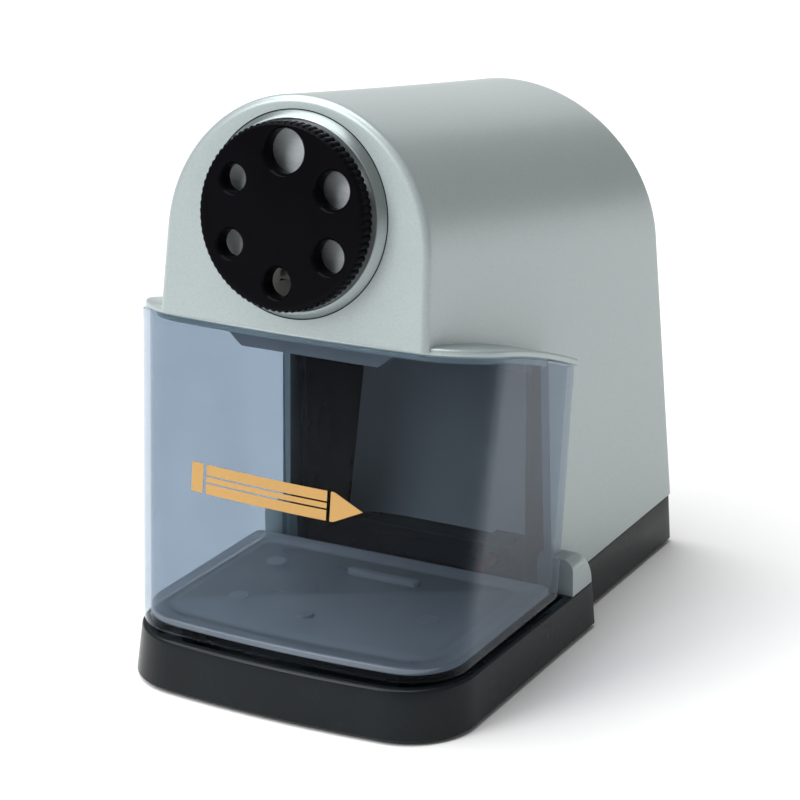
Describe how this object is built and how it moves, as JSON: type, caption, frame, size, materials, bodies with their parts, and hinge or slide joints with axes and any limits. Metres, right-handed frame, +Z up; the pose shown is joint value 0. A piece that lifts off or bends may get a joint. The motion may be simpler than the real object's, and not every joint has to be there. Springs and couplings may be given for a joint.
{
  "type": "electric pencil sharpener",
  "caption": "Electric desk pencil sharpener with arched silver housing, turning hole-size dial, clear slide-out shavings bin, geared cutter and motor.",
  "frame": {"origin": "under the middle of the outline, on the plane of the feet", "axes": "+X to the right seen from the front, +Y to the back, +Z up"},
  "size_m": [0.1156, 0.1788, 0.1753],
  "materials": {
    "silver_paint": "fine metallic silver",
    "steel_plate": "brushed",
    "black_gloss": "gloss black",
    "bright_steel": "plated",
    "guide_white": "natural white",
    "zinc_steel": "zinc plated",
    "sintered_brass": "sintered",
    "cast_zinc": "as cast",
    "tool_steel": "ground",
    "gear_nylon": "moulded",
    "black_satin": "satin black",
    "core_steel": "laminated",
    "red_button": "gloss",
    "grey_liner": "satin dark grey",
    "board_green": "solder resist",
    "black_rubber": "matt",
    "smoke_clear": "smoke-tinted clear plastic"
  },
  "bodies": {
    "frame": {"housing": "silver_paint", "dial_bezel": "silver_paint", "shutter_plate": "steel_plate", "detent_ball": "bright_steel", "detent_spring": "bright_steel", "pencil_guide": "guide_white", "front_plate": "zinc_steel", "mid_plate": "zinc_steel", "rear_plate": "zinc_steel", "frame_pillars": "bright_steel", "frame_screws": "bright_steel", "ring_gear": "sintered_brass", "carrier_bushes": "sintered_brass", "cutter_shroud": "black_satin", "motor_can": "zinc_steel", "motor_end_cap": "black_satin", "motor_screws": "bright_steel", "lever_pin": "bright_steel", "start_switch": "black_satin", "bin_switch": "black_satin", "bay_liner": "grey_liner", "transformer": "core_steel", "power_board": "board_green", "cord_gland": "black_rubber", "base_tray": "black_satin", "base_plate": "zinc_steel", "base_screws": "bright_steel", "rubber_feet": "black_rubber"},
    "dial": {"selector_dial": "black_gloss", "dial_screw": "bright_steel"},
    "carrier": {"cutter_carrier": "cast_zinc", "carrier_gear": "gear_nylon", "cutter_pin": "bright_steel"},
    "cutter": {"helical_cutter": "tool_steel", "cutter_gear": "tool_steel"},
    "reduction": {"reduction_gear": "gear_nylon", "reduction_shaft": "bright_steel"},
    "rotor": {"motor_armature": "core_steel", "motor_shaft": "bright_steel", "motor_pinion": "sintered_brass"},
    "lever": {"start_lever": "guide_white"},
    "start_button": {"start_plunger": "bright_steel"},
    "bin_button": {"bin_plunger": "red_button"},
    "bin": {"shavings_bin": "smoke_clear"}
  },
  "joints": [
    {"name": "bin_slide", "type": "slide", "parent": "frame", "child": "bin", "axis": [0, -1, 0], "range_m": [0, 0.085]},
    {"name": "dial_turn", "type": "hinge", "parent": "frame", "child": "dial", "pos_m": [0, -0.06704, 0.1429], "axis": [0, -0.989, 0.1478], "continuous": true},
    {"name": "carrier_spin", "type": "hinge", "parent": "frame", "child": "carrier", "pos_m": [0, -0.02025, 0.11771], "axis": [0, 0.989, -0.1478], "continuous": true},
    {"name": "cutter_spin", "type": "hinge", "parent": "carrier", "child": "cutter", "pos_m": [0, -0.05122, 0.13649], "axis": [0, 0.9426, -0.3338], "continuous": true},
    {"name": "reduction_spin", "type": "hinge", "parent": "frame", "child": "reduction", "pos_m": [0.01835, -0.00826, 0.13027], "axis": [0, 0.989, -0.1478], "continuous": true},
    {"name": "motor_spin", "type": "hinge", "parent": "frame", "child": "rotor", "pos_m": [0, 0.02286, 0.13553], "axis": [0, 0.989, -0.1478], "continuous": true},
    {"name": "start_lever_press", "type": "hinge", "parent": "frame", "child": "lever", "pos_m": [-0.0115, -0.06535, 0.12445], "axis": [0, 0.1478, 0.989], "range_deg": [0, 11], "stiffness_Nm_per_rad": 0.02},
    {"name": "start_button_press", "type": "slide", "parent": "frame", "child": "start_button", "axis": [0, 0.989, -0.1478], "range_m": [0, 0.00088]},
    {"name": "bin_button_press", "type": "slide", "parent": "frame", "child": "bin_button", "axis": [0, 1, 0], "range_m": [0, 0.0015], "stiffness_N_per_m": 150}
  ],
  "couplings": [
    {"joint": "cutter_spin", "follows": "carrier_spin", "ratio": -3.1538},
    {"joint": "reduction_spin", "follows": "carrier_spin", "ratio": -3.1429},
    {"joint": "motor_spin", "follows": "carrier_spin", "ratio": 10.476},
    {"joint": "start_button_press", "follows": "start_lever_press", "m_per_rad": 0.00454}
  ]
}
